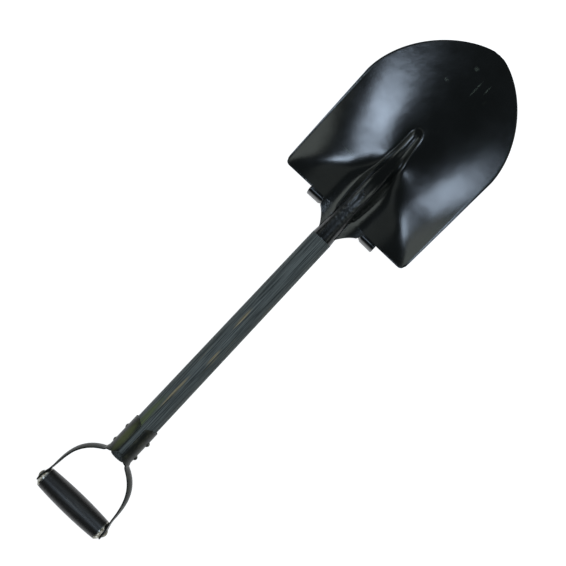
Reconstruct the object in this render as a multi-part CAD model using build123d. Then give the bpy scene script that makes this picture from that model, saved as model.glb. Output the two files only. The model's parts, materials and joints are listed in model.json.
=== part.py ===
from build123d import *
import math
import os

# A D-handle round-point shovel, in millimetres.
#
# Every piece is drawn in the tool's own frame: +X runs down the shaft from the grip's axis to the blade's
# point, +Z faces the hollow side of the blade, and Y runs along the grip. place() then leans the whole tool
# the few degrees at which the grip and the blade's belly both rest on the ground, and puts the origin on the
# ground, in the middle of the tool's footprint.

# Grip, rod and caps
GRIP_RADIUS = 16.5
GRIP_END_RADIUS = 14.65
GRIP_HALF_LENGTH = 48.0
GRIP_NOSE_LENGTH = 4.6
GRIP_NOSE_RADIUS = 9.4
CAP_WALL = 1.1
CAP_SKIRT = 1.6
ROD_RADIUS = 4.0
ROD_END_RADIUS = 3.0
ROD_HEAD_RADIUS = 6.2
ROD_HEAD_HEIGHT = 2.6

# Yoke: two stamped halves, each an ear, a bowed arm and half of the sleeve round the shaft
YOKE_SHEET = 2.0
EAR_RADIUS = 9.5
EAR_JOGGLE = 3.4
HAND_DEPTH = 82.5
BOW_START = 20.0
BOW_CORNER = 15.0
BOW_LONG_POWER = 3.0
BOW_SIDE_POWER = 0.55
ARM_WIDTH_EAR = 18.0
ARM_WIDTH_ROOT = 25.0
ARM_DEPTH_MID = 3.6
SLEEVE_SETBACK = 9.5
SLEEVE_LENGTH = 47.0
SLEEVE_HALF_ANGLE = 75.0
SLEEVE_TONGUE = 9.0

# Shaft
SHAFT_RADIUS = 15.9
SHAFT_NECK_RADIUS = 14.6
SHAFT_END_RADIUS = 10.0
BARE_SHAFT = 325.0
TENON_REACH = 88.0
TENON_END_RADIUS = 6.5

# Cross rivets through the sleeve, and the rivet through the frog
RIVET_RADIUS = 2.5
RIVET_HEAD_RADIUS = 3.7
RIVET_FACTORY_HEAD = 3.0
RIVET_PEENED_HEAD = 2.0
RIVET_INSET = 6.0
RIVET_SPACING = 23.0
FROG_RIVET_REACH = 38.0
FROG_RIVET_HEAD = 1.8
FROG_RIVET_TAIL = 1.2

# Blade and its socket
SOCKET_LENGTH = 48.0
SOCKET_LAP = 9.0
SOCKET_RADIUS = 14.5
SOCKET_END_RADIUS = 11.9
SOCKET_SEAM = 4.0
SHEET = 1.8
BLADE_LENGTH = 287.0
SIDE_LENGTH = 157.0
SHOULDER_HALF_WIDTH = 101.0
BLADE_HALF_WIDTH = 107.3
POINT_LONG_POWER = 1.85
POINT_SIDE_POWER = 0.625
CORNER_RADIUS = 6.4
DISH_DEPTH = 42.0
DISH_FADE = 1.25
BACK_DEPTH = 34.0
LIFT_DROP = 26.0
LIFT_POWER = 1.3
FOLD_REACH = 74.0
FOLD_INSET = 12.7
FOLD_SLOPE = 0.40
FOLD_SOFTNESS = 9.0

# Frog: the ridge that carries the socket's round into the blade
FROG_LENGTH = 145.0
FROG_TIP_HALF_WIDTH = 8.3
FROG_ROOT_HALF_WIDTH = 11.0
FROG_SWELL = 0.040
FROG_NARROWING = 0.080
CREST_BEND_REACH = 27.0
CREST_SLOPE = 0.45
CREST_SOFTNESS = 20.0

# Webs and foot steps
WEB_SETBACK = 10.0
STEP_INNER = 36.0
STEP_OUTER = 55.0
STEP_REACH = 7.0
TREAD_BEND = 5.0
TREAD_DEPTH = 9.0
TREAD_LAP = 1.0

# Clearances
SEAT = 0.05
RUNNING = 0.06
WELD_GAP = 0.02
SHAVED_GAP = 0.3
END_PLAY = 0.3

# Places down the tool, each from the piece before it
EAR_FACE = GRIP_HALF_LENGTH + GRIP_NOSE_LENGTH + CAP_WALL + END_PLAY
BOW_WIDTH = EAR_FACE + YOKE_SHEET - EAR_JOGGLE
SHAFT_START = HAND_DEPTH
BOW_ROOT = SHAFT_START + 2.0
BOW_END = SHAFT_START + 6.0
SLEEVE_START = SHAFT_START + SLEEVE_SETBACK
SHAFT_FULL_AT = SLEEVE_START + 1.0
SLEEVE_END = SLEEVE_START + SLEEVE_LENGTH
RIVET_LOWER = SLEEVE_START + RIVET_INSET
RIVET_UPPER = RIVET_LOWER + RIVET_SPACING
SHAFT_TAPER_START = SLEEVE_END + 6.0
SOCKET_START = SLEEVE_END + BARE_SHAFT
TENON_END = SOCKET_START + TENON_REACH
WEB_START = SOCKET_START + WEB_SETBACK
BLADE_START = SOCKET_START + SOCKET_LENGTH - SOCKET_LAP
BLADE_END = BLADE_START + BLADE_LENGTH
WIDEST_AT = BLADE_START + SIDE_LENGTH
FOLD_START = (BLADE_START + FOLD_REACH, FOLD_INSET)
FOLD_END = (BLADE_START + 8.0, SHOULDER_HALF_WIDTH - 2.0)
FROG_TIP = BLADE_START + FROG_LENGTH
CREST_BEND_AT = BLADE_START + CREST_BEND_REACH
FROG_RIVET_AT = BLADE_START + FROG_RIVET_REACH
SLEEVE_RADIUS = SHAFT_RADIUS + SEAT + YOKE_SHEET
SOCKET_TAPER = (SOCKET_RADIUS - SOCKET_END_RADIUS) / SOCKET_LENGTH
FROG_CREST = SOCKET_END_RADIUS - 0.5
STEP_EDGE = BLADE_START - STEP_REACH
TREAD_START = BLADE_START + TREAD_LAP


# ---------------------------------------------------------------- helpers

def ramp(distance, softness):
    """Nought before zero and the distance itself after it, with a rounded start."""
    return (distance + math.sqrt(distance * distance + softness * softness)) / 2


def soft_max(first, second, softness):
    return second + ramp(first - second, softness)


def flat(edges):
    """A flat face in the XY plane that looks along +Z, whichever way its edges run."""
    face = make_face(edges).face()
    return face if face.normal_at().Z > 0 else -face


def turned(outline):
    """A closed outline of (distance along X, radius) spun about the X axis."""
    return revolve(flat(Polyline(*outline, close=True)), Axis.X)


def along_y(solid):
    """Lay a solid that was turned about X along Y instead."""
    return Rotation(0, 0, 90) * solid


def dome_arc(radius, height, base_at, direction):
    """The profile of a round head: part of a circle centred on the X axis, from its rim to its crown."""
    sphere = (radius * radius + height * height) / (2 * height)
    half_turn = math.asin(radius / sphere) / 2
    centre = height - sphere
    rim = (base_at, radius)
    middle = (base_at + direction * (centre + sphere * math.cos(half_turn)), sphere * math.sin(half_turn))
    crown = (base_at + direction * height, 0)
    return ThreePointArc(rim, middle, crown) if direction > 0 else ThreePointArc(crown, middle, rim)


def headed_pin(middle, head_radius, low_head, high_head):
    """A pin turned about X: its middle outline, between the seats of its heads, and a domed head each end."""
    low = middle[0][0]
    high = middle[-1][0]
    low_dome = dome_arc(head_radius, low_head, low, -1)
    high_dome = dome_arc(head_radius, high_head, high, 1)
    waist = Polyline((low, head_radius), *middle, (high, head_radius))
    return revolve(flat(low_dome + waist + high_dome + Line(high_dome @ 1, low_dome @ 0)), Axis.X)


def both_sides(solid):
    return solid + mirror(solid, Plane.XZ)


# ---------------------------------------------------------------- grip

def make_grip():
    """A barrel, fuller in the middle, with a coned nose at each end and a bore for the rod."""
    end = (GRIP_HALF_LENGTH, GRIP_END_RADIUS)
    crown = ThreePointArc((-end[0], end[1]), (0, GRIP_RADIUS), end)
    nose_root = (GRIP_HALF_LENGTH, GRIP_END_RADIUS - CAP_WALL)
    nose_end = (GRIP_HALF_LENGTH + GRIP_NOSE_LENGTH, GRIP_NOSE_RADIUS)
    bore = ROD_RADIUS + RUNNING
    right = [end, nose_root, nose_end, (nose_end[0], bore)]
    left = [(-x, r) for x, r in reversed(right)]
    outline = crown + Polyline(*right) + Line(right[-1], left[0]) + Polyline(*left)
    return along_y(revolve(flat(outline), Axis.X))


def make_grip_cap(side):
    """A dished metal cup pressed over the barrel's nose."""
    root = GRIP_HALF_LENGTH + SEAT
    inner_root = GRIP_END_RADIUS - CAP_WALL + SEAT
    nose_at = GRIP_HALF_LENGTH + GRIP_NOSE_LENGTH + SEAT
    face_at = EAR_FACE - END_PLAY
    bore = ROD_RADIUS + RUNNING
    skirt_at = root + CAP_SKIRT
    outline = [
        (root, inner_root),
        (nose_at, GRIP_NOSE_RADIUS + SEAT),
        (nose_at, bore),
        (face_at, bore),
        (face_at, GRIP_NOSE_RADIUS + CAP_WALL / 2),
        (skirt_at, GRIP_END_RADIUS - SEAT),
        (root, GRIP_END_RADIUS - SEAT),
    ]
    cap = along_y(turned(outline))
    return cap if side > 0 else mirror(cap, Plane.XZ)


def make_grip_rod():
    """A shouldered rod: the ears seat on its shoulders, and its ends are peened over outside them."""
    shoulder = EAR_FACE
    outside = EAR_FACE + YOKE_SHEET
    middle = [(-outside, ROD_END_RADIUS), (-shoulder, ROD_END_RADIUS), (-shoulder, ROD_RADIUS),
              (shoulder, ROD_RADIUS), (shoulder, ROD_END_RADIUS), (outside, ROD_END_RADIUS)]
    return along_y(headed_pin(middle, ROD_HEAD_RADIUS, ROD_HEAD_HEIGHT, ROD_HEAD_HEIGHT))


# ---------------------------------------------------------------- yoke

def bow_point(x):
    """The bowed arm's outer line: a D whose half width falls away as a rounded power curve."""
    if x <= BOW_CORNER:
        return BOW_WIDTH
    share = (x - BOW_CORNER) / (BOW_END - BOW_CORNER)
    return BOW_WIDTH * (1 - share ** BOW_LONG_POWER) ** BOW_SIDE_POWER


def strip_section(at, direction, width, depth):
    """A strip of sheet cut square to its run, bowed outwards by depth over its width."""
    plane = Plane(origin=(at[0], at[1], 0), x_dir=(0, 0, 1), z_dir=(direction[0], direction[1], 0))
    half_angle = 2 * math.atan(2 * depth / width)
    inset_side = YOKE_SHEET * math.sin(half_angle)
    inset_in = YOKE_SHEET * math.cos(half_angle)
    edge = width / 2
    outer = ThreePointArc((-edge, -depth), (0, 0), (edge, -depth))
    inner = ThreePointArc((edge - inset_side, -depth - inset_in), (0, -YOKE_SHEET),
                          (inset_side - edge, -depth - inset_in))
    sides = Line(outer @ 1, inner @ 0) + Line(inner @ 1, outer @ 0)
    return plane * flat(outer + inner + sides)


def make_arm():
    """The arm on the +Y side, lofted from the ear's neck to the sleeve's end."""
    sleeve_width = 2 * SLEEVE_RADIUS * math.sin(math.radians(SLEEVE_HALF_ANGLE))
    sleeve_depth = SLEEVE_RADIUS * (1 - math.cos(math.radians(SLEEVE_HALF_ANGLE)))
    ear_outside = EAR_FACE + YOKE_SHEET
    neck = EAR_RADIUS * 0.3
    sections = [strip_section((at, ear_outside), (-1, 0), ARM_WIDTH_EAR, 0.15) for at in (neck, EAR_RADIUS)]
    stations = 12
    for step in range(stations):
        share = step / (stations - 1)
        turn = math.radians(90) * share
        x = BOW_START + (BOW_ROOT - BOW_START) * math.sin(turn)
        ahead = 0.5
        rise = bow_point(x + ahead) - bow_point(x - ahead)
        length = math.hypot(2 * ahead, rise)
        depth = 0.3 + ARM_DEPTH_MID * math.sin(math.radians(150) * share)
        width = ARM_WIDTH_EAR + (ARM_WIDTH_ROOT - ARM_WIDTH_EAR) * share
        heading = (-2 * ahead / length, -rise / length)
        sections.append(strip_section((x, bow_point(x)), heading, width, depth))
    sections.append(strip_section((SLEEVE_START, SLEEVE_RADIUS), (-1, 0), sleeve_width, sleeve_depth))
    return loft(sections, ruled=True)


def make_ear():
    """A flat round ear that takes the rod's end, run into the arm's first section."""
    outside = EAR_FACE + YOKE_SHEET
    return along_y(turned([(EAR_FACE, 0), (EAR_FACE, EAR_RADIUS), (outside, EAR_RADIUS), (outside, 0)]))


def make_half_sleeve():
    """Half of the sleeve: a curved strap along the shaft's side, its far end rounded like a tongue."""
    angle = math.radians(SLEEVE_HALF_ANGLE)
    inside = SHAFT_RADIUS + SEAT
    plane = Plane(origin=(SLEEVE_START, 0, 0), x_dir=(0, 1, 0), z_dir=(1, 0, 0))
    points = []
    for radius in (SLEEVE_RADIUS, inside):
        edge = (radius * math.cos(angle), radius * math.sin(angle))
        points.append(((edge[0], -edge[1]), (radius, 0), edge))
    outer = ThreePointArc(*points[0])
    inner = ThreePointArc(*points[1])
    ring = flat(outer + Line(outer @ 1, inner @ 1) + inner + Line(inner @ 0, outer @ 0))
    strap = extrude(plane * ring, amount=SLEEVE_END - SLEEVE_START)
    length = SLEEVE_END - SLEEVE_START + 2 * SLEEVE_TONGUE
    tongue = Box(length, 2 * SLEEVE_RADIUS, 2 * SLEEVE_RADIUS)
    tongue = fillet(tongue.edges().filter_by(Axis.Y), SLEEVE_TONGUE)
    return strap & (Pos(SLEEVE_END - length / 2, SLEEVE_RADIUS, 0) * tongue)


def make_yoke(side, holders):
    """One yoke half on the given side, drilled for the rod and the cross rivets."""
    half = make_half_sleeve() + make_arm() + make_ear()
    if side < 0:
        half = mirror(half, Plane.XZ)
    for holder in holders:
        half = half - holder
    return half


# ---------------------------------------------------------------- shaft and rivets

def tenon_radius(x):
    """The shaft's coned end, a fit in the socket, then running on to its own small end."""
    in_socket = SOCKET_RADIUS - SHEET - SEAT - SOCKET_TAPER * (x - SOCKET_START)
    socket_end = SOCKET_START + SOCKET_LENGTH
    if x <= socket_end:
        return in_socket
    at_socket_end = SOCKET_RADIUS - SHEET - SEAT - SOCKET_TAPER * SOCKET_LENGTH
    share = (x - socket_end) / (TENON_END - socket_end)
    return at_socket_end + (TENON_END_RADIUS - at_socket_end) * share


def make_shaft(holders):
    """A turned wooden shaft, slightly tapered, with a coned tenon shaved to lie under the frog."""
    socket_end = SOCKET_START + SOCKET_LENGTH
    shaft = turned([
        (SHAFT_START, 0),
        (SHAFT_START, SHAFT_END_RADIUS),
        (SHAFT_FULL_AT, SHAFT_RADIUS),
        (SHAFT_TAPER_START, SHAFT_RADIUS),
        (SOCKET_START - SEAT, SHAFT_NECK_RADIUS),
        (SOCKET_START - SEAT, tenon_radius(SOCKET_START)),
        (socket_end, tenon_radius(socket_end)),
        (TENON_END, TENON_END_RADIUS),
        (TENON_END, 0),
    ])
    sheet_above = make_sheet_face(CREST_BEND_AT - 60, FROG_TIP, FROG_REACH, -SHEET - SHAVED_GAP)
    shaft = shaft - Solid.extrude(sheet_above, Vector(0, 0, 4 * SOCKET_RADIUS))
    for holder in holders:
        shaft = shaft - holder
    return shaft


def make_cross_rivet(at):
    """A rivet across the sleeve, with a full factory head on one side and a flatter peened one."""
    seat = SLEEVE_RADIUS - 0.35
    middle = [(-seat, RIVET_RADIUS), (seat, RIVET_RADIUS)]
    rivet = headed_pin(middle, RIVET_HEAD_RADIUS, RIVET_FACTORY_HEAD, RIVET_PEENED_HEAD)
    return Pos(at, 0, 0) * along_y(rivet)


def make_frog_rivet():
    """A low-headed rivet square to the frog's crest, through the sheet and the tenon under it."""
    step = 0.5
    fall = sheet_height(FROG_RIVET_AT - step, 0) - sheet_height(FROG_RIVET_AT + step, 0)
    lean = math.degrees(math.atan2(fall, 2 * step))
    length = tenon_radius(FROG_RIVET_AT) + sheet_height(FROG_RIVET_AT, 0)
    middle = [(-length, RIVET_RADIUS), (-0.3, RIVET_RADIUS)]
    rivet = headed_pin(middle, RIVET_HEAD_RADIUS, FROG_RIVET_TAIL, FROG_RIVET_HEAD + 0.3)
    return Pos(FROG_RIVET_AT, 0, sheet_height(FROG_RIVET_AT, 0)) * (Rotation(0, -90 + lean, 0) * rivet)


# ---------------------------------------------------------------- blade

def bowl_height(x, y):
    """The dished bowl: it falls towards the point, and its sides rise as the square of the width."""
    run = max(0.0, (x - BLADE_START) / BLADE_LENGTH)
    floor = -BACK_DEPTH - LIFT_DROP * run ** LIFT_POWER
    return floor + DISH_DEPTH * math.exp(-DISH_FADE * run) * (y / BLADE_HALF_WIDTH) ** 2


def fold_distance(x, y):
    """How far a point lies behind the fold that runs from the frog out to the corner."""
    along = (FOLD_END[0] - FOLD_START[0], FOLD_END[1] - FOLD_START[1])
    length = math.hypot(*along)
    offset = (x - FOLD_START[0], abs(y) - FOLD_START[1])
    return (along[0] * offset[1] - along[1] * offset[0]) / length


def frog_half_width(x):
    swelling = FROG_ROOT_HALF_WIDTH + FROG_SWELL * (x - BLADE_START)
    narrowing = FROG_TIP_HALF_WIDTH + FROG_NARROWING * (FROG_TIP - 10.0 - x)
    return min(swelling, max(narrowing, FROG_TIP_HALF_WIDTH))


def crest_height(x):
    return FROG_CREST - CREST_SLOPE * ramp(x - CREST_BEND_AT, CREST_SOFTNESS)


def frog_height(x, y):
    """A round-backed ridge: a half circle across, run out straight where it grows steep."""
    half_width = frog_half_width(x)
    past_tip = max(0.0, x - (FROG_TIP - 10.0)) / 10.0
    across = math.hypot(y / half_width, past_tip)
    steep = 0.90
    if across <= steep:
        return crest_height(x) - half_width * (1 - math.sqrt(1 - across * across))
    at_steep = math.sqrt(1 - steep * steep)
    fall = (1 - at_steep) + (across - steep) * steep / at_steep
    return crest_height(x) - half_width * fall


def hidden_fall(x):
    """Inside the socket's end the frog's back drops away, where the tube takes its place."""
    return 2.0 * ramp(SOCKET_START + SOCKET_LENGTH - 5.0 - x, 2.0)


def plate_height(x, y):
    """The bowl with its shoulders folded up behind the two slanting folds."""
    return bowl_height(x, y) + FOLD_SLOPE * ramp(fold_distance(x, y), FOLD_SOFTNESS)


def sheet_height(x, y):
    return soft_max(plate_height(x, y), frog_height(x, y) - hidden_fall(x), 2.5)


FROG_REACH = 3 * SOCKET_RADIUS


def make_sheet_face(x_from, x_to, reach, drop, height=sheet_height):
    """The sheet's face as a smooth surface over a grid, closer together across the frog."""
    along = 5.0
    rows = math.ceil((x_to - x_from) / along)
    columns = 22
    points = []
    for row in range(rows + 1):
        x = x_from + (x_to - x_from) * row / rows
        line = []
        for column in range(-columns, columns + 1):
            share = column / columns
            y = reach * (0.35 * share + 0.65 * share ** 3)
            line.append((x, y, height(x, y) + drop))
        points.append(line)
    return Face.make_surface_from_array_of_points(points, tol=0.05)


def point_edge():
    """One side of the round point, from the widest place to the tip, as a smooth power curve."""
    steps = 14
    length = BLADE_END - WIDEST_AT
    points = []
    for step in range(steps + 1):
        share = math.sin(math.radians(90) * step / steps)
        half = BLADE_HALF_WIDTH * max(0.0, 1 - share ** POINT_LONG_POWER) ** POINT_SIDE_POWER
        points.append((WIDEST_AT + length * share, half))
    return Spline(*points)


def make_outline(inside):
    """Half of the blade's plan, from the shoulder line to the tip."""
    corner = CORNER_RADIUS
    bow = corner * (1 - math.sqrt(0.5))
    edge = point_edge()
    shoulder = Line((inside, 0), (inside, SHOULDER_HALF_WIDTH - corner))
    turn = ThreePointArc(shoulder @ 1, (inside + bow, SHOULDER_HALF_WIDTH - bow),
                         (inside + corner, SHOULDER_HALF_WIDTH))
    side = Line(turn @ 1, edge @ 0)
    return flat(shoulder + turn + side + edge + Line(edge @ 1, (inside, 0)))


def make_web_outline():
    """Plan of one web and its step: a flare from the socket's side to the straight step edge."""
    root = SOCKET_RADIUS - SHEET / 2 - SOCKET_TAPER * (WEB_START - SOCKET_START)
    overlap = 4.0
    flare = Spline((WEB_START, root), (STEP_EDGE - 6.0, root + 15.0), (STEP_EDGE, STEP_INNER + 3.0),
                   tangents=((0.75, 0.66), (0.05, 1)))
    notch = [(TREAD_START, STEP_INNER + 3.0), (BLADE_START + overlap, STEP_INNER + 3.0),
             (BLADE_START + overlap, 0), (WEB_START, 0), (WEB_START, root)]
    return flat(flare + Polyline(flare @ 1, *notch))


def make_tread():
    """The step's edge rolled to the rear: a quarter bend and a flat tread, square to the shoulder."""
    y = STEP_INNER
    step = 0.5
    middle = (STEP_INNER + STEP_OUTER) / 2
    top = plate_height(TREAD_START, middle)
    fall = plate_height(TREAD_START - step, middle) - plate_height(TREAD_START + step, middle)
    slope = math.atan2(fall, 2 * step)
    outer = TREAD_BEND + SHEET
    lap = 3.0
    arc_mid = math.sqrt(0.5)
    outside = ThreePointArc((0, 0), (-outer * arc_mid, outer * arc_mid - outer), (-outer, -outer))
    inside_middle = (-TREAD_BEND * arc_mid, TREAD_BEND * arc_mid - outer)
    inside = ThreePointArc((-TREAD_BEND, -outer), inside_middle, (0, -SHEET))
    foot = -outer - TREAD_DEPTH
    tail = Polyline((-outer, -outer), (-outer, foot), (-TREAD_BEND, foot), (-TREAD_BEND, -outer))
    head = Polyline((0, -SHEET), (lap, -SHEET), (lap, 0), (0, 0))
    profile = flat(outside + tail + inside + head)
    plane = Plane(origin=(0, y, 0), x_dir=(1, 0, 0), z_dir=(0, -1, 0))
    tread = extrude(plane * profile, amount=-(STEP_OUTER - STEP_INNER))
    sunk = SHEET / 5
    return Pos(TREAD_START, 0, top - sunk) * (Rotation(0, math.degrees(slope), 0) * tread)


def make_socket_envelope():
    """The room that the socket takes up where it is welded to the blade and webs."""
    end = SOCKET_START + SOCKET_LENGTH
    start_radius = SOCKET_RADIUS + WELD_GAP
    end_radius = SOCKET_END_RADIUS + WELD_GAP
    return turned([(SOCKET_START, 0), (SOCKET_START, start_radius), (end, end_radius), (end, 0)])


def make_socket():
    """The rolled socket: a coned tube round the tenon, open along the rear in a narrow seam."""
    end = SOCKET_START + SOCKET_LENGTH
    tube = turned([
        (SOCKET_START, SOCKET_RADIUS),
        (end, SOCKET_END_RADIUS),
        (end, SOCKET_END_RADIUS - SHEET),
        (SOCKET_START, SOCKET_RADIUS - SHEET),
    ])
    seam_box = Box(2 * SOCKET_LENGTH, SOCKET_SEAM, SOCKET_RADIUS)
    seam = Pos(SOCKET_START + SOCKET_LENGTH / 2, 0, -SOCKET_RADIUS) * seam_box
    return tube - seam


def make_blade(holders):
    """One pressing: dished blade, frog, webs and the two rear-turned steps."""
    deep = -2 * (BACK_DEPTH + LIFT_DROP)
    tall = -2 * deep
    face = make_sheet_face(WEB_START - 6.0, BLADE_END + 6.0, BLADE_HALF_WIDTH + 6.0, 0)
    slab = Solid.extrude(face, Vector(0, 0, -SHEET))
    half_plan = make_outline(BLADE_START) + make_web_outline()
    plan = extrude(half_plan + mirror(half_plan, Plane.XZ), amount=tall)
    plate = slab & (Pos(0, 0, deep) * plan)
    blade = (Part() + plate) - make_socket_envelope()
    blade = blade + make_tread() + mirror(make_tread(), Plane.XZ)
    for holder in holders:
        blade = blade - holder
    return blade


# ---------------------------------------------------------------- the whole tool

def resting_lean():
    """The lean, in degrees, at which the ground touches both the grip and the blade's belly."""
    low = 0.0
    high = math.radians(20)
    for _ in range(40):
        lean = (low + high) / 2
        lowest = 0.0
        for step in range(200):
            x = FROG_TIP + (BLADE_END - FROG_TIP) * step / 199
            under = bowl_height(x, 0) - SHEET
            lowest = min(lowest, under * math.cos(lean) + x * math.sin(lean))
        if lowest < -GRIP_RADIUS:
            low = lean
        else:
            high = lean
    return math.degrees(low)


def make_pieces():
    rod = make_grip_rod()
    lower = make_cross_rivet(RIVET_LOWER)
    upper = make_cross_rivet(RIVET_UPPER)
    frog = make_frog_rivet()
    holders = [rod, lower, upper]
    return {
        "grip": make_grip(),
        "grip_cap_left": make_grip_cap(1),
        "grip_cap_right": make_grip_cap(-1),
        "grip_rod": rod,
        "yoke_left": make_yoke(1, holders),
        "yoke_right": make_yoke(-1, holders),
        "shaft_rivet_lower": lower,
        "shaft_rivet_upper": upper,
        "shaft": make_shaft([lower, upper, frog]),
        "frog_rivet": frog,
        "socket": make_socket(),
        "blade": make_blade([frog]),
    }


def place(pieces):
    """Lean the tool to its resting pose and put the origin under the middle of it."""
    lean = Rotation(0, -resting_lean(), 0)
    leaned = {name: lean * piece for name, piece in pieces.items()}
    grip_end = leaned["grip"].bounding_box().min.X
    tip_end = leaned["blade"].bounding_box().max.X
    shift = Pos(-(grip_end + tip_end) / 2, 0, GRIP_RADIUS)
    return {name: shift * piece for name, piece in leaned.items()}


def main():
    os.makedirs("parts", exist_ok=True)
    for name, piece in place(make_pieces()).items():
        export_step(piece, f"parts/{name}.step")


main()
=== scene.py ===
import json

import bpy
import numpy as np
from mathutils import Matrix


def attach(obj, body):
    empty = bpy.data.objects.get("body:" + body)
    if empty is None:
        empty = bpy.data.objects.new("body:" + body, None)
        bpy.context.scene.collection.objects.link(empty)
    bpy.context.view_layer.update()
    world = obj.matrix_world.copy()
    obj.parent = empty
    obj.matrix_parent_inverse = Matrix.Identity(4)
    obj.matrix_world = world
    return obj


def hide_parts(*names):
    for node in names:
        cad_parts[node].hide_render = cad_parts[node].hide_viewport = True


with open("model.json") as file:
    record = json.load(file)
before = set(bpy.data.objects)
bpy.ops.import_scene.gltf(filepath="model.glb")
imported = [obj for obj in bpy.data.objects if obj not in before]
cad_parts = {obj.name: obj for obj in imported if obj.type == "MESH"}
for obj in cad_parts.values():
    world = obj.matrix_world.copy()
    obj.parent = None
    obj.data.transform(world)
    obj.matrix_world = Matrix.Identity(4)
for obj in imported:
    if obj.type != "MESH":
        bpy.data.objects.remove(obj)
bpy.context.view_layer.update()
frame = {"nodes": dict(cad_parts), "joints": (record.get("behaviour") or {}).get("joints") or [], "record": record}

# A D-handle round-point shovel lying face up. Shapes are worked out in millimetres in the tool's own frame:
# x runs down the shaft from the grip's axis to the blade's point, z faces the hollow side, y runs along the
# grip. to_row() carries them to the frame of the CAD, in metres.

mounts = {mount["name"]: mount for mount in frame["record"]["mounts"]}
DOWN_TOOL = np.array(mounts["shaft_clip_seat"]["axis"], float)
OUT_OF_HOLLOW = np.array([-DOWN_TOOL[2], 0.0, DOWN_TOOL[0]])
ACROSS = np.array([0.0, 1.0, 0.0])
GRIP_AXIS = np.array(frame["joints"][0]["pos_m"], float)
LEAN = float(np.arcsin(DOWN_TOOL[2]))
MM = 0.001

# Blade, as pressed. A pair is a place, or a reach, along and across the tool
SHEET = 1.8
BLADE_START = 503.0
BLADE_LENGTH = 287.0
BLADE_END = BLADE_START + BLADE_LENGTH
SHOULDER_HALF_WIDTH = 101.0
BLADE_HALF_WIDTH = 107.3
WIDEST_AT = 660.0
POINT_LONG_POWER = 1.85
POINT_SIDE_POWER = 0.625
CORNER_RADIUS = 6.4
DISH_DEPTH = 42.0
DISH_FADE = 1.25
FLATTER_FROM = 0.42
FLATTER_BY = 0.15
FLATTER_SOFTNESS = 0.06
DIMPLE_AT = 597.0
DIMPLE_LEFT_DEPTH = 3.0
DIMPLE_RIGHT_DEPTH = 4.6
DIMPLE_REACH = (24.0, 22.0)
BACK_DEPTH = 34.0
LIFT_DROP = 26.0
LIFT_POWER = 1.3
FOLD_START = (577.0, 12.7)
FOLD_END = (511.0, 99.0)
FOLD_SLOPE = 0.40
FOLD_SOFTNESS = 9.0
FROG_TIP = 648.0
FROG_NOSE = 10.0
FROG_TIP_HALF_WIDTH = 8.3
FROG_TIP_TAPER = 0.080
FROG_ROOT_HALF_WIDTH = 11.0
FROG_ROOT_FLARE = 0.040
FROG_WAIST_FROM = 535.0
FROG_WAIST_LENGTH = 45.0
FROG_WAIST_SHARE = 0.15
FROG_STEEPEST = 0.96
CREST_BEND_AT = 530.0
CREST_SLOPE = 0.45
CREST_SOFTNESS = 20.0
CREST_SAG = (562.0, 8.0, 0.25)    # where it starts, how softly, and its slope
CREST_RISE = (604.0, 14.0, 0.53)  # the same
FROG_CREST = 11.4
RIDGE_SWELL = 9.0
RIDGE_HALF_WIDTH = 23.0
RIDGE_END = 598.0
RIDGE_FADE = 60.0
FILLET = 4.4
ROOT_FILLET_MORE = 2.6
ROOT_FILLET_END = 585.0
ROOT_FILLET_FADE = 40.0
FILLET_SINK = 0.25
SOCKET_START = 464.0
SOCKET_END = 512.0
SOCKET_RADIUS = 14.5
SOCKET_END_RADIUS = 11.9
SOCKET_SEAM = 0.16                # half its opening, in radians
SOCKET_MARKS_FADE = 14.0
SOCKET_SINK = 0.25
WEB_START = 474.0
STEP_EDGE = 496.0
STEP_INNER = 20.0
STEP_OUTER = 55.0
WEB_FLARE = 25.0
WEB_SINK = 0.4                    # how far the web runs into the socket's side
STRAIGHT_STEP_FROM = 31.0
STRAIGHT_STEP_BLEND = 6.0
STEP_UNDER_TREAD = 1.0
STEP_CUT = 3.0
SHOULDER_ROOM = 0.9
TREAD_BEND = 5.0
TREAD_DEPTH = 9.0
TREAD_START = 504.0
TREAD_LAP = 6.0
TREAD_INSET = 4.0
TREAD_INNER_SIZE = 0.3            # as a share of its full size, which it reaches over the growth
TREAD_GROWTH = 13.0
TREAD_PROUD = 0.03
PLAN_TOP = 14.0                   # the grid's strip that follows the top edge
EDGE_ROOM = 1.3
FROG_LEAN = 5.0
FROG_LEAN_FROM = 520.0
POINT_LEAN = -2.5
MARKS_AT = 522.0
MARKS_REACH = (30.0, 13.0)
MARKS_SIZE = 8.0
MARKS_DEPTH = 0.5
SCALE_SIZE = 26.0
SCALE_DEPTH = 0.03
CORNER_WEAR = 0.35
CORNER_WEAR_AT = (535.0, 80.0)
CORNER_WEAR_FADE = (25.0, 16.0)

# Yoke, as stamped. A half is half the strip's width there
YOKE_SHEET = 2.0
EAR_RADIUS = 9.5
EAR_OUTSIDE = 56.0
NECK_END = 18.0
NECK_WAIST = 0.7
NECK_WAIST_END = 10.0
ARM_END = 84.3
ARM_START_HALF = 8.8
ARM_END_HALF = 12.5
ARM_FLAT_DEPTH = 0.4
ARM_CHANNEL_DEPTH = 3.4
ARM_CHANNEL_END = np.radians(155.0)
THROAT_PINCH = 1.4
BOW_WIDTH = 52.6
BOW_CORNER = 15.0
BOW_END = 88.5
BOW_ROUNDNESS = (3.0, 0.55)
SLEEVE_START = 92.0
SLEEVE_END = 139.0
SLEEVE_RADIUS = 17.95
SLEEVE_HALF_ANGLE = np.radians(75.0)
TONGUE = 4.0


# ---------------------------------------------------------------- frame and mesh helpers

def to_row(points):
    """Tool-frame millimetres to row-frame metres: a turn by the tool's lean and a move to the grip's axis."""
    axes = np.array([DOWN_TOOL, ACROSS, OUT_OF_HOLLOW])
    return points.reshape(-1, 3) @ axes * MM + GRIP_AXIS


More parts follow.
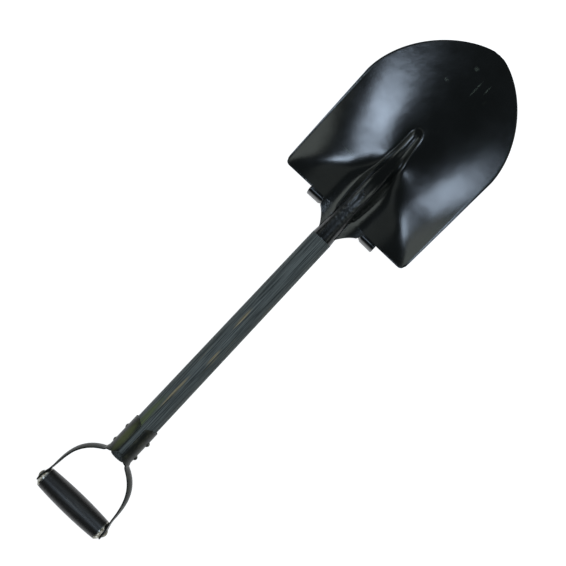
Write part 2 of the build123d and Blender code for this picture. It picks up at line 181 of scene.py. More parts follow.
def ramp(distance, softness):
    """A soft corner: 0 well below 0 and the distance itself well above, joined by a hyperbola."""
    return (distance + np.sqrt(distance * distance + softness * softness)) / 2


def smooth(share):
    """An S curve from 0 to 1: three times the share squared less twice its cube, held at both ends."""
    share = np.clip(share, 0.0, 1.0)
    return share * share * (3 - 2 * share)


def lumps(x, y, size, seed=0.0):
    """Uneven ground between -1 and 1: a sum of slanted sine waves whose lengths share no factor."""
    total = np.zeros(np.broadcast(x, y).shape)
    waves = ((0.3, 1.0, 0.35), (1.4, 1.37, 0.25), (2.5, 1.83, 0.2), (0.9, 2.71, 0.12), (2.0, 3.9, 0.08))
    for turn, stretch, weight in waves:
        along = x * np.cos(turn + seed) + y * np.sin(turn + seed)
        beside = y * np.cos(turn + seed) - x * np.sin(turn + seed)
        wander = 1.7 * np.sin(beside * stretch * 4.1 / size + seed)
        total += weight * np.sin(along * stretch * 6.283 / size + wander)
    return total


def grid_faces(rows, columns, start=0):
    """Quads over a grid of points held row by row, wound so that they face along grid_normals."""
    row, column = np.meshgrid(np.arange(rows - 1), np.arange(columns - 1), indexing="ij")
    first = (row * columns + column).ravel()
    return start + np.stack([first, first + columns, first + columns + 1, first + 1], axis=1)


def make_object(name, points, faces, body, slot_name):
    """A finished mesh in the row frame, riding on its body, with the finish of a slot of the record."""
    mesh = bpy.data.meshes.new(name)
    mesh.from_pydata(to_row(points).tolist(), [], faces.tolist())
    mesh.validate()
    mesh.update()
    mesh.polygons.foreach_set("use_smooth", np.ones(len(mesh.polygons), bool))
    mesh.materials.append(MATERIALS[slot_name])
    piece = bpy.data.objects.new(name, mesh)
    bpy.context.scene.collection.objects.link(piece)
    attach(piece, body)
    return piece


def grid_normals(points):
    """Unit normals of a grid surface, from the cross product of its steps along rows and columns."""
    normals = np.cross(np.gradient(points, axis=0), np.gradient(points, axis=1))
    length = np.linalg.norm(normals, axis=2, keepdims=True)
    return normals / np.maximum(length, 1e-9)


def thick_sheet(front, thickness, round_steps=4):
    """A sheet of even thickness behind a grid surface, with a half-round band right round its edge.

    The back is the front moved in along its normals. The band at each boundary point is a half circle
    from the front to the back, swung outwards along the grid's own direction there.
    """
    rows, columns = front.shape[:2]
    normals = grid_normals(front)
    radius = thickness / 2
    middle = front - normals * radius
    back = front - normals * thickness
    top = [(0, column) for column in range(columns)]
    right = [(row, columns - 1) for row in range(1, rows)]
    bottom = [(rows - 1, column) for column in range(columns - 2, -1, -1)]
    left = [(row, 0) for row in range(rows - 2, 0, -1)]
    ring = np.array(top + right + bottom + left)
    inner = np.clip(ring, [1, 1], [rows - 2, columns - 2])
    rim = middle[ring[:, 0], ring[:, 1]]
    rim_normal = normals[ring[:, 0], ring[:, 1]]
    outward = rim - middle[inner[:, 0], inner[:, 1]]
    outward -= rim_normal * np.sum(outward * rim_normal, axis=1, keepdims=True)
    outward /= np.maximum(np.linalg.norm(outward, axis=1, keepdims=True), 1e-9)
    turns = np.linspace(0, np.pi, round_steps + 1)[1:-1]
    band = [rim + radius * (np.cos(t) * rim_normal + np.sin(t) * outward) for t in turns]
    count = rows * columns
    points = np.concatenate([front.reshape(-1, 3), back.reshape(-1, 3)] + band)
    front_faces = grid_faces(rows, columns)
    back_faces = grid_faces(rows, columns, count)[:, ::-1]
    edge = ring[:, 0] * columns + ring[:, 1]
    rounds = [2 * count + step * len(ring) + np.arange(len(ring)) for step in range(len(band))]
    loops = [edge] + rounds + [edge + count]
    strips = []
    for upper, lower in zip(loops[:-1], loops[1:]):
        strips.append(np.stack([upper, np.roll(upper, -1), np.roll(lower, -1), lower], axis=1))
    return points, np.concatenate([front_faces, back_faces] + strips)


def merge_parts(parts):
    """Several sets of points and faces as one set, for one piece made of joined surfaces."""
    points = []
    faces = []
    start = 0
    for part_points, part_faces in parts:
        points.append(part_points)
        faces.append(part_faces + start)
        start += len(part_points)
    return np.concatenate(points), np.concatenate(faces)


# ---------------------------------------------------------------- materials

def srgb(code):
    """An sRGB hex colour as the linear colour that a shader takes."""
    values = [int(code[i:i + 2], 16) / 255 for i in (1, 3, 5)]
    return [v / 12.92 if v <= 0.04045 else ((v + 0.055) / 1.055) ** 2.4 for v in values] + [1.0]


def add_node(material, kind, settings=None, links=None):
    """Adds one node: settings are properties or input values by name, links go from input name to socket."""
    node = material.node_tree.nodes.new(kind)
    for key, value in (settings or {}).items():
        if isinstance(key, str) and hasattr(node, key) and key not in node.inputs:
            setattr(node, key, value)
        else:
            node.inputs[key].default_value = value
    for key, source in (links or {}).items():
        material.node_tree.links.new(source, node.inputs[key])
    return node


def new_material(name, settings):
    """A material with only its shader, joined to its output."""
    material = bpy.data.materials.new(name)
    material.use_nodes = True
    material.node_tree.nodes.clear()
    shader = add_node(material, "ShaderNodeBsdfPrincipled", settings)
    add_node(material, "ShaderNodeOutputMaterial", links={"Surface": shader.outputs["BSDF"]})
    return material, shader


def tool_coordinates(material):
    """Object coordinates in the tool's own frame: X down the tool from the grip's axis, Z to the front."""
    place = add_node(material, "ShaderNodeTexCoord")
    back = (-float(GRIP_AXIS @ DOWN_TOOL), 0.0, -float(GRIP_AXIS @ OUT_OF_HOLLOW))
    turned = add_node(material, "ShaderNodeMapping", {"Location": back, "Rotation": (0.0, LEAN, 0.0)},
                      {"Vector": place.outputs["Object"]})
    return turned.outputs["Vector"]


def spot(material, where, centre_mm, reach_mm, edge=0.3):
    """A worn or stained place: 1 inside an ellipsoid round its centre, falling to 0 at its reach."""
    shifted = add_node(material, "ShaderNodeMapping",
                       {"vector_type": "TEXTURE", "Location": tuple(c * MM for c in centre_mm),
                        "Scale": tuple(r * MM for r in reach_mm)}, {"Vector": where})
    length = add_node(material, "ShaderNodeVectorMath", {"operation": "LENGTH"},
                      {0: shifted.outputs["Vector"]})
    return band(material, length.outputs["Value"], 1.0, edge)


def times(material, first, second):
    """The first value times the second, which is a number or a socket."""
    node = add_node(material, "ShaderNodeMath", {"operation": "MULTIPLY"}, {0: first})
    if isinstance(second, float):
        node.inputs[1].default_value = second
    else:
        material.node_tree.links.new(second, node.inputs[1])
    return node.outputs[0]


def noise(material, vector, size_mm, detail=4.0, stretch=(1.0, 1.0, 1.0), roughness=0.55):
    """Noise whose blobs are about size_mm across, drawn out along an axis by its stretch."""
    scaled = add_node(material, "ShaderNodeMapping", {"Scale": tuple(1.0 / s for s in stretch)},
                      {"Vector": vector})
    return add_node(material, "ShaderNodeTexNoise",
                    {"Scale": 1.0 / (size_mm * MM), "Detail": detail, "Roughness": roughness},
                    {"Vector": scaled.outputs["Vector"]}).outputs["Fac"]


def band(material, value, low, high, to_low=0.0, to_high=1.0):
    """A value mapped smoothly from one range to another and held at its ends."""
    return add_node(material, "ShaderNodeMapRange",
                    {"interpolation_type": "SMOOTHSTEP", "From Min": low, "From Max": high,
                     "To Min": to_low, "To Max": to_high},
                    {"Value": value}).outputs["Result"]


def blend_colour(material, share, first, second):
    """A colour that goes from first to second by share; either may be a hex code or a socket."""
    node = add_node(material, "ShaderNodeMix", {"data_type": "RGBA"}, {0: share})
    for index, colour in ((6, first), (7, second)):
        if isinstance(colour, str):
            node.inputs[index].default_value = srgb(colour)
        else:
            material.node_tree.links.new(colour, node.inputs[index])
    return node.outputs[2]


def connect(material, source, node, name):
    """Links an output socket to a node's input of the given name."""
    material.node_tree.links.new(source, node.inputs[name])


def bump(material, height, distance_mm):
    """The surface's normal, tilted as if a height from 0 to 1 stood distance_mm tall."""
    return add_node(material, "ShaderNodeBump", {"Strength": 1.0, "Distance": distance_mm * MM},
                    {"Height": height}).outputs["Normal"]


def make_blade_enamel():
    """Black baking enamel, dipped over forged steel: clear gloss, a faint orange peel and fine scuffs.

    It is duller over the hammered metal where the shaft goes in.
    """
    material, shader = new_material("black_baking_enamel", {"Roughness": 0.2, "IOR": 1.5})
    where = tool_coordinates(material)
    specks = noise(material, where, 1.3, 4.0)
    thin_coat = band(material, noise(material, where, 5.0, 8.0, (3.0, 1.0, 1.0)), 0.62, 0.72)
    colour = blend_colour(material, thin_coat, "#0d100f", "#171a16")
    for centre, reach in SCUFFS:
        scraped = times(material, spot(material, where, centre, reach), band(material, specks, 0.42, 0.6))
        colour = blend_colour(material, scraped, colour, "#555a50")
    connect(material, colour, shader, "Base Color")
    gloss = band(material, noise(material, where, 30.0, 3.0), 0.3, 0.7, 0.16, 0.20)
    at_weld = spot(material, where, *WELD)
    dull = add_node(material, "ShaderNodeMath", {"operation": "MULTIPLY_ADD", 1: 0.17},
                    {0: at_weld, 2: gloss})
    connect(material, dull.outputs[0], shader, "Roughness")
    connect(material, bump(material, specks, 0.045), shader, "Normal")
    return material


def make_yoke_enamel():
    """Thin olive-black enamel over stamped steel: rubbed to a dull brown-grey where hands touch it."""
    material, shader = new_material("olive_black_enamel", {"Roughness": 0.42, "Specular IOR Level": 0.3})
    where = tool_coordinates(material)
    worn = band(material, noise(material, where, 5.0, 6.0, (2.0, 1.0, 1.0)), 0.42, 0.72)
    colour = blend_colour(material, worn, "#20211b", "#3f3e30")
    # A lighter olive patch on the sleeve's top: partly olive enamel, partly a painted highlight where the light
    # falls
    olive_and_painted_highlight = times(material, spot(material, where, *OLIVE_AND_HIGHLIGHT_ON_SLEEVE), 0.75)
    colour = blend_colour(material, olive_and_painted_highlight, colour, "#6d7048")
    connect(material, colour, shader, "Base Color")
    connect(material, bump(material, noise(material, where, 1.6, 3.0), 0.05), shader, "Normal")
    return material


def make_shaft_wood():
    """Ash stained dark grey: fine long grain, with the stain rubbed through to tan along a few streaks.

    An olive patch lies near the yoke, over the grain: partly a smear of old enamel, partly a painted highlight.
    """
    material, shader = new_material("stained_ash", {"Roughness": 0.5, "Specular IOR Level": 0.08})
    where = tool_coordinates(material)
    grain = noise(material, where, 1.1, 5.0, (60.0, 1.0, 1.0), 0.65)
    streaks = noise(material, where, 3.0, 4.0, (40.0, 1.0, 1.0))
    stained = blend_colour(material, band(material, grain, 0.34, 0.66), "#3d403e", "#787b76")
    # Olive patch near the yoke: partly an enamel smear, partly a painted highlight on the lit upper side
    olive_smear_and_highlight = times(material, spot(material, where, *OLIVE_AND_HIGHLIGHT_ON_WOOD), band(material, grain, 0.3, 0.6))
    colour = blend_colour(material, olive_smear_and_highlight, stained, "#6e7550")
    colour = blend_colour(material, band(material, streaks, 0.62, 0.74), colour, "#877c64")
    for centre, reach in RUBBED_WOOD:
        rubbed = times(material, spot(material, where, centre, reach), band(material, grain, 0.36, 0.56))
        colour = blend_colour(material, rubbed, colour, "#b3a07a")
    connect(material, colour, shader, "Base Color")
    connect(material, bump(material, grain, 0.1), shader, "Normal")
    return material


def make_grip_lacquer():
    """Turned wood under black lacquer: a soft gloss over fine lathe rings, with a painted highlight in lighter
    grey along its top, broken by the grain.
    """
    material, shader = new_material("black_lacquered_beech", {"Roughness": 0.38, "IOR": 1.5})
    where = tool_coordinates(material)
    grain = noise(material, where, 1.3, 5.0, (1.0, 14.0, 1.0), 0.6)
    # Painted highlight: a lighter grey band along the grip's top, broken up by the grain
    highlight_grain = band(material, grain, 0.4, 0.65)
    painted_top_highlight = times(material, highlight_grain, spot(material, where, *LIT_TOP_OF_GRIP, 0.0))
    connect(material, blend_colour(material, painted_top_highlight, "#211f1c", "#47443d"), shader, "Base Color")
    connect(material, bump(material, grain, 0.08), shader, "Normal")
    return material


def make_bare_steel(name, light, dark, roughness):
    """Plain steel, dulled by handling: brighter rubs over a browner film."""
    material, shader = new_material(name, {"Metallic": 1.0, "Roughness": roughness})
    where = tool_coordinates(material)
    film = band(material, noise(material, where, 3.0, 6.0), 0.35, 0.6)
    connect(material, blend_colour(material, film, light, dark), shader, "Base Color")
    connect(material, bump(material, noise(material, where, 1.0, 3.0), 0.04), shader, "Normal")
    return material


# Places in tool millimetres, each with its reach along, across and through
WELD = ((505.0, 0.0, 6.0), (62.0, 17.0, 22.0))
# The olive patch on the sleeve: partly olive enamel, partly a painted highlight
OLIVE_AND_HIGHLIGHT_ON_SLEEVE = ((112.0, 9.0, 14.0), (34.0, 7.0, 9.0))
# The olive patch on the wood: partly olive enamel, partly a painted highlight
OLIVE_AND_HIGHLIGHT_ON_WOOD = ((140.0, 7.0, 14.0), (60.0, 6.0, 9.0))
# A painted highlight along the grip's top
LIT_TOP_OF_GRIP = ((2.0, 0.0, 17.0), (12.0, 52.0, 14.0))
SCUFFS = (((567.0, 51.0, -20.0), (2.2, 16.0, 30.0)), ((720.0, 26.0, -50.0), (3.0, 4.0, 20.0)),
          ((756.0, 7.0, -55.0), (4.0, 4.0, 20.0)), ((737.0, -10.0, -52.0), (16.0, 1.6, 20.0)),
          ((745.0, -22.0, -52.0), (9.0, 1.4, 20.0)))
RUBBED_WOOD = (((195.0, 2.0, 16.0), (36.0, 2.6, 6.0)), ((323.0, 3.0, 16.0), (22.0, 2.4, 6.0)),
               ((262.0, -4.0, 16.0), (18.0, 1.8, 6.0)))

MATERIALS = {
    "blade_enamel": make_blade_enamel(),
    "shaft_wood": make_shaft_wood(),
    "yoke_enamel": make_yoke_enamel(),
    "rivet_steel": make_bare_steel("worn_rivet_steel", "#77756c", "#3a3832", 0.5),
    "grip_wood": make_grip_lacquer(),
    "cap_steel": make_bare_steel("plated_cap_steel", "#c4c3bd", "#6b695a", 0.33),
    "rod_steel": make_bare_steel("plain_rod_steel", "#8f8d80", "#4d4a3e", 0.4),
}


# ---------------------------------------------------------------- blade

def bowl_height(x, y):
    """The dished bowl: its floor falls towards the point, and its sides rise as the square of the width.

    A shallow dimple, a bell curve both ways, lies on each side of the frog's nose.
    """
    run = np.clip((x - BLADE_START) / BLADE_LENGTH, 0.0, None)
    floor = -BACK_DEPTH - LIFT_DROP * run ** LIFT_POWER
    flattening = 1 - FLATTER_BY * ramp(run - FLATTER_FROM, FLATTER_SOFTNESS)
    side = DISH_DEPTH * np.exp(-DISH_FADE * run) * flattening * (y / BLADE_HALF_WIDTH) ** 2
    depth = np.where(y < 0, DIMPLE_RIGHT_DEPTH, DIMPLE_LEFT_DEPTH)
    beside_frog = depth * np.exp(-(y / DIMPLE_REACH[1]) ** 2 - ((x - DIMPLE_AT) / DIMPLE_REACH[0]) ** 2)
    return floor + side - beside_frog


def fold_distance(x, y):
    """How far a point lies behind the fold that runs from the frog out to the corner."""
    along = np.subtract(FOLD_END, FOLD_START)
    across = along[0] * (np.abs(y) - FOLD_START[1]) - along[1] * (x - FOLD_START[0])
    return across / np.hypot(*along)


def frog_half_width(x):
    """The frog widens on a straight line from its root, narrows on another to its tip, and is drawn in past
    its root by a fixed share."""
    swelling = FROG_ROOT_HALF_WIDTH + FROG_ROOT_FLARE * (x - BLADE_START)
    narrowing = FROG_TIP_HALF_WIDTH + FROG_TIP_TAPER * (FROG_TIP - FROG_NOSE - x)
    half_width = np.minimum(swelling, np.maximum(narrowing, FROG_TIP_HALF_WIDTH))
    return half_width * (1 - FROG_WAIST_SHARE * smooth((x - FROG_WAIST_FROM) / FROG_WAIST_LENGTH))


def frog_height(x, y):
    """A round-backed ridge: half a circle across, run out straight where it grows steep."""
    half_width = frog_half_width(x)
    y = y - FROG_LEAN * np.clip((x - FROG_LEAN_FROM) / (FROG_TIP - FROG_LEAN_FROM), 0.0, 1.2) ** 2
    crest = FROG_CREST - CREST_SLOPE * ramp(x - CREST_BEND_AT, CREST_SOFTNESS)
    sag_from, sag_softness, sag_slope = CREST_SAG
    rise_from, rise_softness, rise_slope = CREST_RISE
    sag = sag_slope * ramp(x - sag_from, sag_softness)
    crest = crest - sag + rise_slope * ramp(x - rise_from, rise_softness)
    past_tip = np.clip(x - (FROG_TIP - FROG_NOSE), 0.0, None) / FROG_NOSE
    across = np.hypot(y / half_width, past_tip)
    at_steep = np.sqrt(1 - FROG_STEEPEST * FROG_STEEPEST)
    rounded = 1 - np.sqrt(np.clip(1 - across * across, at_steep * at_steep, 1.0))
    straight = (1 - at_steep) + (across - FROG_STEEPEST) * FROG_STEEPEST / at_steep
    return crest - half_width * np.where(across <= FROG_STEEPEST, rounded, straight)


def sheet_height(x, y):
    """The plate, folded up behind the two slanting folds, with the frog's ridge raised out of it.

    The plate swells beside the ridge as a bell curve, so that the ridge runs into the shoulders. A soft
    corner joins the two, softer at the root, and the sheet is sunk there by a share of that softness.
    """
    plate = bowl_height(x, y) + FOLD_SLOPE * ramp(fold_distance(x, y), FOLD_SOFTNESS)
    hidden_fall = 2.0 * ramp(SOCKET_END - 5.0 - x, 2.0)
    plate = plate + RIDGE_SWELL * np.exp(-(y / RIDGE_HALF_WIDTH) ** 2) * smooth((RIDGE_END - x) / RIDGE_FADE)
    softness = FILLET + ROOT_FILLET_MORE * smooth((ROOT_FILLET_END - x) / ROOT_FILLET_FADE)
    ridge = ramp(frog_height(x, y) - hidden_fall - plate, softness)
    return plate + ridge - FILLET_SINK * (softness - FILLET)


def forging_marks(x, y):
    """Hammer marks that fade as a bell curve round the frog's root, and faint wide scale over the blade."""
    near_root = np.exp(-((x - MARKS_AT) / MARKS_REACH[0]) ** 2 - (y / MARKS_REACH[1]) ** 2)
    return MARKS_DEPTH * near_root * lumps(x, y, MARKS_SIZE) + SCALE_DEPTH * lumps(x, y, SCALE_SIZE, 1.1)


def half_width_at(x):
    """The blade's half width: straight flaring sides, then the round point's power curve."""
    widening = BLADE_HALF_WIDTH - SHOULDER_HALF_WIDTH
    flare = SHOULDER_HALF_WIDTH + widening * (x - BLADE_START) / (WIDEST_AT - BLADE_START)
    share = np.clip((x - WIDEST_AT) / (BLADE_END - WIDEST_AT), 0.0, 1.0)
    point = BLADE_HALF_WIDTH * (1 - share ** POINT_LONG_POWER) ** POINT_SIDE_POWER
    return np.maximum(np.where(x < WIDEST_AT, flare, point) - EDGE_ROOM, 0.5)


def top_edge_at(y):
    """Where the sheet begins at each distance from the middle.

    In turn: the socket's straight side, the web's flare (a quarter sine wave), the straight step, the
    shoulder line and the corner, which is a quarter circle.
    """
    y = np.abs(y)
    taper = (SOCKET_RADIUS - SOCKET_END_RADIUS) / (SOCKET_END - SOCKET_START)
    beside_socket = SOCKET_START + (SOCKET_RADIUS - WEB_SINK - y) / taper
    web_root = SOCKET_RADIUS - WEB_SINK - taper * (WEB_START - SOCKET_START)
    flared = np.sin(np.pi / 2 * np.clip((y - web_root) / WEB_FLARE, 0, 1)) ** 0.9
    flare = WEB_START + (STEP_EDGE - WEB_START) * flared
    edge = np.where(y < web_root, np.clip(beside_socket, WEB_START, SOCKET_END - 1.0), flare)
    to_step = smooth((y - STRAIGHT_STEP_FROM) / STRAIGHT_STEP_BLEND)
    edge = edge + (TREAD_START + STEP_UNDER_TREAD - edge) * to_step
    to_shoulder = smooth((y - STEP_OUTER + 1.0) / STEP_CUT)
    edge = edge + (BLADE_START + SHOULDER_ROOM - edge) * to_shoulder
    corner_start = SHOULDER_HALF_WIDTH - EDGE_ROOM - CORNER_RADIUS
    into_corner = np.clip((y - corner_start) / CORNER_RADIUS, 0.0, 1.0)
    return edge + CORNER_RADIUS * (1 - np.sqrt(1 - into_corner ** 2))


def blade_plan():
    """The plan grid: columns keep a share of the half width, and run from the top edge to the point.

    They lie closer towards the middle, by a mix of the share and its cube, and the rows lie closer towards
    the point, by a sine.
    """
    half_columns, top_rows, body_rows = 100, 30, 150
    share = np.arange(-half_columns, half_columns + 1) / half_columns
    even, crowded = 0.42, 0.58
    share = even * share + crowded * share ** 3
    join = BLADE_START + PLAN_TOP
    top_y = share * half_width_at(np.array(join))
    top_share = np.linspace(0, 1, top_rows)[:, None]
    top_x = top_edge_at(top_y)[None, :] * (1 - top_share) + join * top_share
    top = np.stack([top_x, np.broadcast_to(top_y, top_x.shape)], axis=2)
    short_of_point = 0.02
    turn = np.linspace(0, np.pi / 2 - short_of_point, body_rows)
    body_x = join + (BLADE_END - EDGE_ROOM - join) * np.sin(turn)
    body_x = body_x[1:, None] * np.ones_like(share)[None, :]
    drift = POINT_LEAN * np.clip((body_x - WIDEST_AT) / (BLADE_END - WIDEST_AT), 0.0, 1.0) ** 3
    body = np.stack([body_x, half_width_at(body_x) * share[None, :] + drift], axis=2)
    return np.concatenate([top, body])


def tread_strip(side):
    """The step's rolled edge: the plate's own slope, a quarter circle, and a flat foot turned to the rear.

    It grows out of the web at its inner end and is cut square at its outer end.
    """
    across = np.linspace(STEP_INNER + TREAD_INSET, STEP_OUTER, 28)
    outer = TREAD_BEND + SHEET
    lap = TREAD_LAP * np.array([1.0, 0.75, 0.5, 0.25])
    lap_x = (TREAD_START + lap)[:, None] * np.ones_like(across)[None, :]
    lap_sink = np.array([-0.3, -0.12, -0.02, TREAD_PROUD])
    lap_z = sheet_height(lap_x, across[None, :]) + lap_sink[:, None]
    rise = sheet_height(TREAD_START - 1.0, across) - sheet_height(TREAD_START + 1.0, across)
    slope = np.arctan(rise / 2)
    bend = np.linspace(0, np.pi / 2, 10)
    foot = [-outer - TREAD_DEPTH / 2, -outer - TREAD_DEPTH]
    profile_x = np.concatenate([-outer * np.sin(bend), [-outer, -outer]])[:, None]
    profile_z = np.concatenate([outer * np.cos(bend) - outer, foot])[:, None]
    grown = smooth((across - STEP_INNER - TREAD_INSET) / TREAD_GROWTH)
    size = TREAD_INNER_SIZE + (1 - TREAD_INNER_SIZE) * grown
    turned_x = profile_x * np.cos(slope) + profile_z * np.sin(slope)
    turned_z = profile_z * np.cos(slope) - profile_x * np.sin(slope)
    roll_x = TREAD_START + size * turned_x
    roll_z = sheet_height(TREAD_START, across) + TREAD_PROUD + size * turned_z
    x = np.concatenate([lap_x, roll_x])
    z = np.concatenate([lap_z, roll_z])
    surface = np.stack([x, np.broadcast_to(across * side, x.shape), z], axis=2)
    return surface if side > 0 else surface[:, ::-1]


def make_blade():
    """The sheet over its plan grid, and a tread strip on each side, all one sheet thick."""
    plan = blade_plan()
    x, y = plan[..., 0], plan[..., 1]
    outwards = smooth((np.abs(y) - CORNER_WEAR_AT[1]) / CORNER_WEAR_FADE[1])
    worn_corner = CORNER_WEAR * outwards * smooth((CORNER_WEAR_AT[0] - x) / CORNER_WEAR_FADE[0])
    front = np.stack([x, y, sheet_height(x, y) + forging_marks(x, y) - worn_corner], axis=2)
    parts = [thick_sheet(front, SHEET)]
    for side in (1, -1):
        strip = tread_strip(side)
        if grid_normals(strip)[0, 0, 2] < 0:
            strip = strip[:, ::-1]
        parts.append(thick_sheet(strip, SHEET))
    piece = make_object("blade_pressing", *merge_parts(parts), "root", "blade_enamel")
    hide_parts("blade")


def make_socket():
    """A coned tube with a narrow seam at the rear: rings of a circle whose radius falls along the tool.

    Its face is hammered like the blade's root, more so towards the blade.
    """
    turn = np.linspace(-np.pi / 2 + SOCKET_SEAM, 3 * np.pi / 2 - SOCKET_SEAM, 96)
    x = np.linspace(SOCKET_START, SOCKET_END, 44)
    taper = SOCKET_END_RADIUS - SOCKET_RADIUS
    radius = SOCKET_RADIUS + taper * (x - SOCKET_START) / (SOCKET_END - SOCKET_START)
    x, turn = np.meshgrid(x, turn, indexing="ij")
    marks = forging_marks(x, 14.0 * np.cos(turn)) * np.clip(np.sin(turn) + 0.4, 0, 1)
    radius = radius[:, None] + (marks - SOCKET_SINK) * smooth((x - SOCKET_START) / SOCKET_MARKS_FADE)
    front = np.stack([x, radius * np.cos(turn), radius * np.sin(turn)], axis=2)
    # The grid is turned over where its normals point at the shaft
    if np.sum(grid_normals(front)[20, 30] * front[20, 30] * [0, 1, 1]) < 0:
        front = front[:, ::-1]
    piece = make_object("rolled_socket", *thick_sheet(front, SHEET), "root", "blade_enamel")
    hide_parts("socket")


# ---------------------------------------------------------------- yoke

def bow_line(x):
    """The arm's outer line: a D whose half width falls away as a rounded power curve."""
    share = np.clip((x - BOW_CORNER) / (BOW_END - BOW_CORNER), 0.0, 1.0)
    return BOW_WIDTH * (1 - share ** BOW_ROUNDNESS[0]) ** BOW_ROUNDNESS[1]


def yoke_path():
    """Points down the half yoke's outside, from the ear's end to the sleeve's tongue.

    Each has its half width and the half angle of the arc across it. The ear is a half circle, the neck an
    S curve, the arm follows the bow and is hollowed as a half sine, the throat is an S curve again, and the
    sleeve is straight and ends in rounded corners.
    """
    ear_turn = np.linspace(np.pi / 2 - 0.06, 0.1, 16)
    ear_x = -EAR_RADIUS * np.sin(ear_turn)
    ear_half = EAR_RADIUS * np.cos(ear_turn)
    neck_x = np.linspace(0.0, NECK_END, 12)
    neck_y = EAR_OUTSIDE + (bow_line(np.array(NECK_END)) - EAR_OUTSIDE) * smooth(neck_x / NECK_END)
    neck_half = EAR_RADIUS - NECK_WAIST * smooth(neck_x / NECK_WAIST_END)
    share = np.linspace(0.03, 1, 44)
    arm_x = NECK_END + (ARM_END - NECK_END) * np.sin(np.pi / 2 * share)
    arm_half = ARM_START_HALF + (ARM_END_HALF - ARM_START_HALF) * share
    arm_depth = ARM_FLAT_DEPTH + ARM_CHANNEL_DEPTH * np.sin(ARM_CHANNEL_END * share)
    throat = np.linspace(0, 1, 8)[1:-1]
    throat_x = ARM_END + (SLEEVE_START - ARM_END) * throat
    arm_end_y = bow_line(np.array(ARM_END))
    throat_y = arm_end_y + (SLEEVE_RADIUS - arm_end_y) * smooth(throat * THROAT_PINCH)
    sleeve_chord = SLEEVE_RADIUS * np.sin(SLEEVE_HALF_ANGLE)
    throat_half = ARM_END_HALF + (sleeve_chord - ARM_END_HALF) * smooth(throat)
    tongue_x = SLEEVE_END - TONGUE + TONGUE * np.sin(np.linspace(0.1, np.pi / 2, 14))
    sleeve_x = np.concatenate([np.linspace(SLEEVE_START, SLEEVE_END - TONGUE, 12), tongue_x])
    past = np.clip(sleeve_x - (SLEEVE_END - TONGUE), 0, TONGUE)
    sleeve_half = sleeve_chord - TONGUE + np.sqrt(np.clip(TONGUE ** 2 - past ** 2, 0, None))
    x = np.concatenate([ear_x, neck_x, arm_x, throat_x, sleeve_x])
    ear_y = np.full(len(ear_x), EAR_OUTSIDE)
    sleeve_y = np.full(len(sleeve_x), SLEEVE_RADIUS)
    y = np.concatenate([ear_y, neck_y, bow_line(arm_x), throat_y, sleeve_y])
    half = np.concatenate([ear_half, neck_half, arm_half, throat_half, sleeve_half])
    flat = np.full(len(ear_x) + len(neck_x), 0.02)
    arm_angle = 2 * np.arctan(arm_depth / arm_half)
    throat_angle = arm_angle[-1] + (SLEEVE_HALF_ANGLE - arm_angle[-1]) * smooth(throat)
    angle = np.concatenate([flat, arm_angle, throat_angle, np.arcsin(sleeve_half / SLEEVE_RADIUS)])
    return x, y, half, angle


def yoke_surface(side):
    """The half yoke's outer face: at each station a circular arc across the strip, square to the path."""
    x, y, half, angle = yoke_path()
    heading = np.arctan2(np.gradient(y), np.gradient(x))
    across = np.linspace(-1, 1, 33)
    radius = half / np.sin(angle)
    swing = across[None, :] * angle[:, None]
    inward = radius[:, None] * (1 - np.cos(swing))
    z = radius[:, None] * np.sin(swing)
    strip_x = x[:, None] + inward * np.sin(heading)[:, None]
    strip_y = y[:, None] - inward * np.cos(heading)[:, None]
    surface = np.stack([strip_x, strip_y * side, z], axis=2)
    outwards = grid_normals(surface)[5, 16, 1] * side
    return surface if outwards > 0 else surface[:, ::-1]


def make_yokes():
    """The two halves, each a stamped sheet and the mirror image of the other."""
    for name, side in (("left", 1), ("right", -1)):
        stamping = thick_sheet(yoke_surface(side), YOKE_SHEET)
        piece = make_object(f"yoke_{name}_stamping", *stamping, "root", "yoke_enamel")
        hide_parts(f"yoke_{name}")


# ---------------------------------------------------------------- stage, light and camera

# In tool millimetres; the camera leans and tilts off the square view, and rolls to set the tool aslant
CAMERA_DISTANCE = 2200.0
CAMERA_AIM = (389.3, -2.7, 0.0)
CAMERA_LEAN = np.radians(3.31)
CAMERA_TILT = np.radians(3.66)
CAMERA_ROLL = np.radians(-46.82)
LENS_MM = 110.9
LAMP_DISTANCE = 2100.0
LAMP_AIM = (600.0, 0.0, -40.0)
SKY = (0.66, 0.81, 1.0)
GREY = (0.90, 1.0, 0.95)
ROOM_STRENGTH = 0.08
FLOOR_REACH = 40.0
FLOOR_GLOW = 0.93


def turn_matrix(axis, angle):
    """The matrix of a right-handed turn about one axis."""
    c, s = np.cos(angle), np.sin(angle)
    return np.array({"x": [[1, 0, 0], [0, c, -s], [0, s, c]], "y": [[c, 0, s], [0, 1, 0], [-s, 0, c]],
                     "z": [[c, -s, 0], [s, c, 0], [0, 0, 1]]}[axis])


def add_camera():
    """Nearly square above the hollow side, turned so that the tool runs up and to the right."""
    turn = turn_matrix("x", CAMERA_LEAN) @ turn_matrix("y", CAMERA_TILT) @ turn_matrix("z", CAMERA_ROLL)
    axes = np.array([DOWN_TOOL, ACROSS, OUT_OF_HOLLOW]).T
    world = axes @ turn
    place = to_row(np.array(CAMERA_AIM) + turn[:, 2] * CAMERA_DISTANCE)[0]
    data = bpy.data.cameras.new("camera")
    data.lens = LENS_MM
    data.sensor_width = 36.0
    data.clip_end = 20.0
    camera = bpy.data.objects.new("camera", data)
    matrix = np.eye(4)
    matrix[:3, :3] = world
    matrix[:3, 3] = place
    bpy.context.scene.collection.objects.link(camera)
    camera.matrix_world = Matrix(matrix.tolist())
    bpy.context.scene.camera = camera


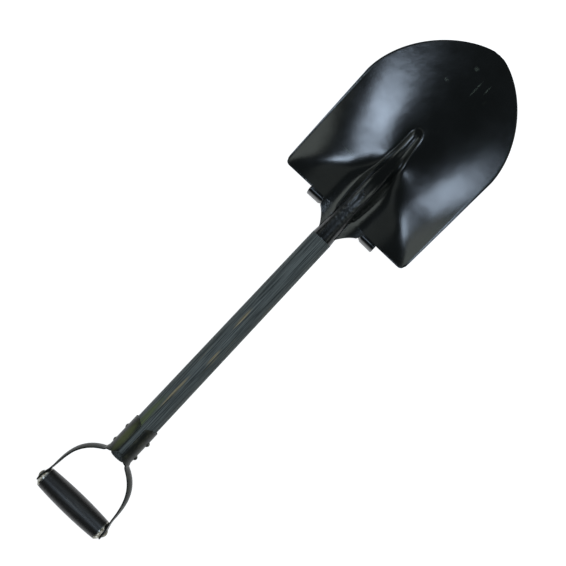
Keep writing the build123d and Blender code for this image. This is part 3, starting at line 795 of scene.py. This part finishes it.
def add_area(name, place, aim, size, power, tint, slant):
    """A soft rectangular lamp at a place in tool millimetres, facing its aim and spun by its slant."""
    data = bpy.data.lights.new(name, "AREA")
    data.shape = "RECTANGLE"
    data.size, data.size_y = size[0] * MM, size[1] * MM
    data.energy = power
    data.color = tint
    lamp = bpy.data.objects.new(name, data)
    start = to_row(np.array(place, float))[0]
    back = start - to_row(np.array(aim, float))[0]
    back /= np.linalg.norm(back)
    right = np.cross(ACROSS, back)
    right /= np.linalg.norm(right)
    up = np.cross(back, right)
    spun = right * np.cos(slant) + up * np.sin(slant)
    matrix = np.eye(4)
    matrix[:3, :3] = np.stack([spun, np.cross(back, spun), back], axis=1)
    matrix[:3, 3] = start
    bpy.context.scene.collection.objects.link(lamp)
    lamp.matrix_world = Matrix(matrix.tolist())


def add_floor():
    """A pale floor that shows white to the camera and in reflections, and still takes the tool's shadow."""
    mesh = bpy.data.meshes.new("floor")
    corners = [(x * FLOOR_REACH, y * FLOOR_REACH, 0) for x, y in ((-1, -1), (1, -1), (1, 1), (-1, 1))]
    mesh.from_pydata(corners, [], [(0, 1, 2, 3)])
    floor = bpy.data.objects.new("floor", mesh)
    bpy.context.scene.collection.objects.link(floor)
    material, shader = new_material("pale_paper_sweep", {"Base Color": srgb("#c4c4c2"), "Roughness": 0.9})
    shader.inputs["Emission Color"].default_value = (FLOOR_GLOW, FLOOR_GLOW, FLOOR_GLOW, 1)
    path = add_node(material, "ShaderNodeLightPath")
    seen = path.outputs["Is Camera Ray"]
    for ray in ("Is Glossy Ray", "Is Transmission Ray"):
        either = add_node(material, "ShaderNodeMath", {"operation": "MAXIMUM"},
                          {0: seen, 1: path.outputs[ray]})
        seen = either.outputs[0]
    connect(material, seen, shader, "Emission Strength")
    mesh.materials.append(material)


def set_world():
    """A dim even room: the dark overhead is what the black enamel mirrors between its two bands."""
    world = bpy.data.worlds.new("room")
    world.use_nodes = True
    room = world.node_tree.nodes["Background"]
    room.inputs["Color"].default_value = srgb("#e4eaee")
    room.inputs["Strength"].default_value = ROOM_STRENGTH
    bpy.context.scene.world = world


def light_scene():
    """Two soft boxes over the blade throw its two bands, and weaker screens light its sides and shoulders.

    Each lamp's power is its brightness times pi times its area.
    """
    for name, direction, size, slant, radiance, tint in (
            ("softbox_left", (0.31, 0.59, 0.75), (580.0, 290.0), 61.0, 12.5, SKY),
            ("softbox_right", (0.30, -0.33, 0.89), (560.0, 250.0), -60.0, 19.0, SKY),
            ("screen_near", (-0.35, 0.0, 0.94), (520.0, 1000.0), 0.0, 4.0, SKY),
            ("screen_left", (0.35, 0.85, 0.40), (1300.0, 700.0), 0.0, 1.5, GREY),
            ("screen_right", (0.35, -0.80, 0.50), (1300.0, 800.0), 0.0, 1.5, GREY),
            ("screen_far", (0.62, 0.0, 0.78), (500.0, 1400.0), 0.0, 0.35, GREY)):
        place = np.array(LAMP_AIM) + np.array(direction) * LAMP_DISTANCE
        power = radiance * np.pi * size[0] * size[1] * MM * MM
        add_area(name, place, LAMP_AIM, size, power, tint, np.radians(slant))


make_blade()
make_socket()
make_yokes()
for subpart in frame["record"]["subparts"]:
    mesh = frame["nodes"][subpart["node"]].data
    mesh.materials.clear()
    mesh.materials.append(MATERIALS[subpart["material_slot"]])
add_floor()
set_world()
light_scene()
add_camera()
bpy.context.scene.view_settings.view_transform = "Standard"
